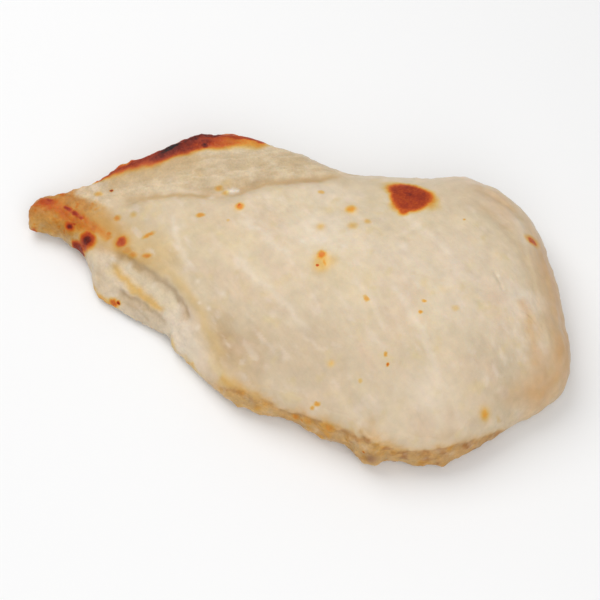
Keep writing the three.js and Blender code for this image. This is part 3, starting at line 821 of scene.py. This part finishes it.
def toast_of(p, zones):
    """How toasted each point is by all but the spots, which are in the material."""
    round_edge = zones.round_edge + Grain(0.3, 4.5, 155).at(p) * ramp(zones.round_edge, 0.1, 0.6)
    station = zones.station + (0.04 + 0.3 * zones.round_edge) * Grain(1, 6, 159).at(p)
    inset = zones.inset + Grain(0.5, 2.8, 151).at(p)

    reach, fade, level = rows_at(BAND, station)
    band = level * ramp(inset, reach, reach - fade) * (1 + Grain(0.1, 2.4, 157, 1).at(p))
    band = band * np.maximum(ramp(round_edge, 1.3, 0.55), BAND_DOWN * ramp(zones.round_edge, 1.4, 1))
    toast = band * (1 - ramp(zones.round_edge, 0.5, 1) * ramp(station, 6.2, 7.3))

    change = 1 + Grain(0.1, 1.8, 161, 1).at(p)
    outer, inner = RIM_INSET_FADE
    for first, last, width, level, low in RIMS:
        ends = ramp(station, first - RIM_END_FADE, first + RIM_END_FADE)
        ends = ends * ramp(station, last + RIM_END_FADE, last - RIM_END_FADE)
        rim = level * ends * ramp(inset, width + outer, width + inner)
        rim = rim * ramp(round_edge, low + RIM_ROUND_FADE, low - RIM_ROUND_FADE)
        toast = np.maximum(toast, rim * change)

    streak_x, streak_y, _ = Sway(181, 1.8, 0.4).of(p).T
    change = 1 + Grain(0.2, 1.6, 173, 1).at(p)
    for level, width, path in STREAKS:
        toast = np.maximum(toast, level * on_path(path, width, streak_x, streak_y) * zones.top * change)
    for zone, *rows in TOAST_PATCHES:
        patchy = sum(level * patches.among(zones) for level, patches in rows)
        toast = np.maximum(toast, patchy * getattr(zones, zone))
    return np.clip(toast, 0, MOST_TOAST)


# The surface

# Where round the edge the normals turn straight down, so that the underside closes smoothly.
BENEATH_ROUND = (1.4, 1.9)
# Painted shade in hollows: how often heights are averaged to find the hollows, the share of the wall's
# relief, and their depth.
BLUR_TIMES = 24
WALL_CAVITY = 0.5
HOLLOW_DEPTH = (0.04, 0.4)


def normals_of(grid):
    """Outward normals of the ring grid; the first ring, a line along the spine, takes those of the second."""
    around = np.roll(grid, -1, 1) - np.roll(grid, 1, 1)
    across = np.gradient(grid, axis=0)
    n = np.cross(around, across)
    n[0] = n[1]
    return n / np.maximum(np.linalg.norm(n, axis=2), 1e-9)[..., None]


def blurred(values, times):
    """Values of the ring grid averaged with their neighbours, over and over."""
    for _ in range(times):
        across = np.concatenate([values[:1], values, values[-1:]])
        values = (np.roll(values, 1, 1) + np.roll(values, -1, 1) + across[:-2] + across[2:]) / 4
    return values


def faces_of(count):
    """The four-sided faces of the ring grid, as point numbers.

    The first and last rings close on the spine, where the two sides share points.
    """
    index = np.arange(count * AROUND).reshape(count, AROUND)
    places = np.arange(AROUND)
    for ring in (0, -1):
        index[ring] = np.where(places <= AROUND // 2, index[ring], index[ring][(-places) % AROUND])
    beside = np.roll(index, -1, 1)
    return np.stack([index[:-1], beside[:-1], beside[1:], index[1:]], -1).reshape(-1, 4)


def breast():
    grid, facts = rings()
    beneath = ramp(facts[..., 2:], *BENEATH_ROUND)
    normal = normals_of(grid) * (1 - beneath) + np.array((0, 0, -1)) * beneath
    p = grid.reshape(-1, 3)
    n = normal.reshape(-1, 3)
    zones = Zones(p, n, facts.reshape(-1, 3))
    out = relief(p, zones)
    fine = p + n * out[:, None]
    fine[:, 2] = np.maximum(fine[:, 2], 0)
    height = ((fine - p) * n).sum(1).reshape(grid.shape[:2]) + grid[..., 2]
    # How far each point lies below its averaged neighbours: the deeper, the more painted shade.
    cavity = (height - blurred(height, BLUR_TIMES)).ravel() * zones.top + WALL_CAVITY * out * zones.wall
    zones.hollows = ramp(-cavity, *HOLLOW_DEPTH)
    values = {"toast": toast_of(p, zones), "wall": zones.wall, "coarse": zones.coarse}
    tint = tint_of(p, zones)

    quads = faces_of(len(grid))
    used = np.unique(quads)
    renumber = np.zeros(len(p), int)
    renumber[used] = np.arange(len(used))
    mesh = bpy.data.meshes.new("breast")
    mesh.from_pydata((fine[used] * MM).tolist(), [], renumber[quads].tolist())
    mesh.polygons.foreach_set("use_smooth", [True] * len(mesh.polygons))
    colour = mesh.attributes.new("tint", "FLOAT_COLOR", "POINT")
    colour.data.foreach_set("color", np.column_stack([tint[used], np.ones(len(used))]).ravel())
    for name, numbers in values.items():
        layer = mesh.attributes.new(name, "FLOAT", "POINT")
        layer.data.foreach_set("value", numbers[used])
    mesh.update()
    piece = bpy.data.objects.new("breast", mesh)
    bpy.context.scene.collection.objects.link(piece)
    return piece


# The material

# What toasting leaves of the meat's red, green and blue. The dark ones allow for the sheen.
TOASTED = [
    (0, (1, 1, 1)), (0.15, (1, 0.86, 0.5)), (0.3, (1, 0.58, 0.12)), (0.42, (0.92, 0.28, 0.03)),
    (0.55, (0.7, 0.12, 0.01)), (0.68, (0.45, 0.05, 0.005)), (0.8, (0.25, 0.02, 0.004)),
    (0.92, (0.08, 0.007, 0.004)), (1, (0.02, 0.004, 0.004)),
]
# Moist and satin, with light that goes a little way in, most of it red.
SHADER = {
    "IOR": 1.4, "Specular IOR Level": 0.32, "Coat Weight": 0.05, "Coat Roughness": 0.25,
    "Subsurface Weight": 0.28, "Subsurface Radius": (1, 0.55, 0.3), "Subsurface Scale": 0.0025,
}
NOISE_MIDDLE = 0.5
# How far the fibres sway and the spots' edges wander, and how long, wide and high a fibre is.
SWAY_BY = 6
SPOT_WANDER = 0.9
FIBRE_SIZE = (9, 1, 3)
# How far up and down a spot reaches, as a share of its half length, and at least.
SPOT_TALL = 3
SPOT_LEAST_HEIGHT = 3
# How much of the toast's unevenness is grain and blotches, and what is there without them.
TOAST_GRAIN = 0.5
TOAST_BLOTCH = 0.4
TOAST_SHARE = 0.55
# A factor and what is added: the colour's brightness, the roughness and the height of the crumbs.
FIBRE_BRIGHT = (0.07, 0.965)
BLOTCH_BRIGHT = (0.1, 0.95)
COARSE_CONTRAST = (0.45, 0.1)
DRY_ROUGH = (0.16, 0.4)
GRAIN_ROUGH = (0.2, -0.1)
COARSE_CRUMB = (1.7, 0.3)
# From where to where in the toasting it grows dry, and how dry.
DRY_TOAST = (0.3, 0.8)
DRY_MOST = 0.7
FIBRE_HEIGHT = 0.28
GRAIN_HEIGHT = 0.4
BUMP_STRENGTH = 0.6
BUMP_HEIGHT = 0.00025


class Nodes:
    """The nodes of a material, made one by one; an input is a value or another node's output."""

    def __init__(self, tree):
        self.tree = tree

    def make(self, kind, inputs=None, **settings):
        node = self.tree.nodes.new(kind)
        for name, value in settings.items():
            setattr(node, name, value)
        for key, value in (inputs or {}).items():
            socket = node.inputs[key]
            if isinstance(value, bpy.types.NodeSocket):
                self.tree.links.new(value, socket)
            else:
                socket.default_value = value
        return node

    def math(self, operation, *values):
        return self.make("ShaderNodeMath", dict(enumerate(values)), operation=operation).outputs[0]

    def vector(self, operation, *values, result="Vector", **named):
        inputs = dict(enumerate(values)) | named
        return self.make("ShaderNodeVectorMath", inputs, operation=operation).outputs[result]

    def scale(self, vector, factor):
        return self.vector("SCALE", vector, Scale=factor)

    def span(self, value, low, high, most):
        """A smooth step from 0 at low to most at high."""
        inputs = {"Value": value, "From Min": low, "From Max": high, "To Min": 0, "To Max": most}
        return self.make("ShaderNodeMapRange", inputs, interpolation_type="SMOOTHSTEP").outputs[0]

    def noise(self, place, size, detail, roughness=0.5):
        """Noise with features about size millimetres apart, from 0 to 1."""
        inputs = {"Vector": place, "Scale": 1 / size, "Detail": detail, "Roughness": roughness}
        return self.make("ShaderNodeTexNoise", inputs)

    def placed(self, vector, location, degrees, scale):
        """The vector in axes of their own, moved, turned about the vertical and scaled."""
        rotation = (0, 0, math.radians(degrees))
        inputs = {"Vector": vector, "Location": location, "Rotation": rotation, "Scale": scale}
        return self.make("ShaderNodeMapping", inputs, vector_type="TEXTURE").outputs[0]


def spotted(nodes, place, toast):
    """The toasting with all spots, each an ellipse whose edge wanders."""
    wander = nodes.noise(place, 1.6, 2).outputs["Color"]
    wander = nodes.vector("SUBTRACT", wander, (NOISE_MIDDLE,) * 3)
    wandered = nodes.vector("MULTIPLY_ADD", wander, (SPOT_WANDER,) * 3, place)
    for x, y, half_length, half_width, degrees, level, softness in SPOTS:
        z = float(top_height(np.array([x]), np.array([y]))[0])
        scale = (half_length, half_width, max(SPOT_TALL * half_length, SPOT_LEAST_HEIGHT))
        away = nodes.vector("LENGTH", nodes.placed(wandered, (x, y, z), degrees, scale), result="Value")
        toast = nodes.math("MAXIMUM", toast, nodes.span(away, 1 + softness, 1 - softness, level))
    for x, y, z, radius, level, softness in EDGE_SPOTS:
        away = nodes.vector("DISTANCE", wandered, (x, y, z), result="Value")
        here = nodes.span(away, radius * (1 + softness), radius * (1 - softness), level)
        toast = nodes.math("MAXIMUM", toast, here)
    return toast


def toasted(nodes, toast):
    colours = nodes.make("ShaderNodeValToRGB", {0: toast})
    elements = colours.color_ramp.elements
    while len(elements) < len(TOASTED):
        elements.new(0.5)
    for element, (position, left) in zip(elements, TOASTED):
        element.position = position
        element.color = (*left, 1)
    return colours.outputs[0]


def meat():
    material = bpy.data.materials.new("cooked_meat")
    material.use_nodes = True
    nodes = Nodes(material.node_tree)
    shader = material.node_tree.nodes["Principled BSDF"]
    for name, value in SHADER.items():
        shader.inputs[name].default_value = value
    attribute = {}
    for name in ("tint", "toast", "wall", "coarse"):
        node = nodes.make("ShaderNodeAttribute", attribute_name=name)
        attribute[name] = node.outputs["Color" if name == "tint" else "Fac"]
    place = nodes.scale(nodes.make("ShaderNodeTexCoord").outputs["Object"], 1 / MM)
    sway = nodes.noise(place, 9, 1).outputs["Color"]
    swayed = nodes.vector("MULTIPLY_ADD", sway, (SWAY_BY,) * 3, place)
    along = nodes.placed(swayed, (0, 0, 0), FIBRE_ANGLE, FIBRE_SIZE)
    fibre = nodes.noise(along, 0.9, 3).outputs["Fac"]
    grain = nodes.noise(place, 0.7, 4, 0.6).outputs["Fac"]
    blotch = nodes.noise(place, 3.5, 3).outputs["Fac"]
    crumb = nodes.noise(place, 1.1, 4, 0.65).outputs["Fac"]

    toast = spotted(nodes, place, attribute["toast"])
    uneven = nodes.math("MULTIPLY_ADD", grain, TOAST_GRAIN, nodes.math("MULTIPLY", blotch, TOAST_BLOTCH))
    toast = nodes.math("MULTIPLY", toast, nodes.math("ADD", uneven, TOAST_SHARE))

    bright = nodes.math("MULTIPLY_ADD", fibre, *FIBRE_BRIGHT)
    contrast = nodes.math("MULTIPLY_ADD", attribute["coarse"], *COARSE_CONTRAST)
    speckle = nodes.math("MULTIPLY", contrast, nodes.math("SUBTRACT", grain, NOISE_MIDDLE))
    bright = nodes.math("MULTIPLY", bright, nodes.math("ADD", speckle, 1))
    bright = nodes.math("MULTIPLY", bright, nodes.math("MULTIPLY_ADD", blotch, *BLOTCH_BRIGHT))
    base = nodes.scale(attribute["tint"], bright)
    colour = nodes.vector("MULTIPLY", base, toasted(nodes, toast))

    # Drier where raw or burnt.
    dry = nodes.math("MAXIMUM", attribute["wall"], nodes.span(toast, *DRY_TOAST, DRY_MOST))
    rough = nodes.math("MULTIPLY_ADD", dry, *DRY_ROUGH)
    rough = nodes.math("ADD", rough, nodes.math("MULTIPLY_ADD", grain, *GRAIN_ROUGH))

    # Fibres, grain and crumbs too fine for the mesh.
    crumbs = nodes.math("MULTIPLY", crumb, nodes.math("MULTIPLY_ADD", attribute["coarse"], *COARSE_CRUMB))
    height = nodes.math("ADD", nodes.math("MULTIPLY", fibre, FIBRE_HEIGHT), crumbs)
    height = nodes.math("ADD", height, nodes.math("MULTIPLY", grain, GRAIN_HEIGHT))
    inputs = {"Height": height, "Strength": BUMP_STRENGTH, "Distance": BUMP_HEIGHT}
    bump = nodes.make("ShaderNodeBump", inputs)
    for name, output in (("Base Color", colour), ("Roughness", rough), ("Normal", bump.outputs[0])):
        material.node_tree.links.new(output, shader.inputs[name])
    return material


# The camera and the studio, in metres

ELEVATION = math.radians(60)
AZIMUTH = math.radians(23)
DISTANCE = 0.55
TARGET = Vector((0.004, -0.0094, 0.010))
FOCAL_LENGTH = 115
SENSOR_WIDTH = 36
FLOOR_HALF = 3.0
FLOOR_COLOUR = (0.9, 0.9, 0.9, 1)
FLOOR_ROUGHNESS = 0.9
SKY_STRENGTH = 0.45
# The lights: name, how far from the target towards the camera, to the right and up, size, power in watts.
LIGHTS = [("key", -0.3, -0.25, 0.6, 0.6, 2.6), ("fill", 0.45, 0.1, 0.5, 0.7, 2)]


def aimed(thing, name, place):
    """An object at a place, turned to look at the target."""
    made = bpy.data.objects.new(name, thing)
    made.location = place
    made.rotation_mode = "QUATERNION"
    made.rotation_quaternion = (TARGET - place).to_track_quat("-Z", "Y")
    bpy.context.scene.collection.objects.link(made)
    return made


def ground():
    half = FLOOR_HALF
    mesh = bpy.data.meshes.new("floor")
    corners = [(-half, -half, 0), (half, -half, 0), (half, half, 0), (-half, half, 0)]
    mesh.from_pydata(corners, [], [(0, 1, 2, 3)])
    floor = bpy.data.objects.new("floor", mesh)
    bpy.context.scene.collection.objects.link(floor)
    pale = bpy.data.materials.new("floor")
    pale.use_nodes = True
    shader = pale.node_tree.nodes["Principled BSDF"]
    shader.inputs["Base Color"].default_value = FLOOR_COLOUR
    shader.inputs["Roughness"].default_value = FLOOR_ROUGHNESS
    mesh.materials.append(pale)
    return floor


def studio():
    scene = bpy.context.scene
    front = Vector((math.sin(AZIMUTH), -math.cos(AZIMUTH), 0))
    right = Vector((math.cos(AZIMUTH), math.sin(AZIMUTH), 0))
    up = Vector((0, 0, 1))
    lens = bpy.data.cameras.new("camera")
    lens.lens = FOCAL_LENGTH
    lens.sensor_width = SENSOR_WIDTH
    place = TARGET + DISTANCE * (front * math.cos(ELEVATION) + up * math.sin(ELEVATION))
    scene.camera = aimed(lens, "camera", place)
    for name, towards, across, above, size, power in LIGHTS:
        light = bpy.data.lights.new(name, "AREA")
        light.shape = "DISK"
        light.size = size
        light.energy = power
        aimed(light, name, TARGET + front * towards + right * across + up * above)
    world = bpy.data.worlds.new("studio")
    world.use_nodes = True
    sky = world.node_tree.nodes["Background"]
    sky.inputs["Color"].default_value = (1, 1, 1, 1)
    sky.inputs["Strength"].default_value = SKY_STRENGTH
    scene.world = world
    scene.view_settings.view_transform = "Standard"
    floor = ground()


studio()
piece = breast()
piece.data.materials.append(meat())
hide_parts(NODE)
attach(piece, "root")
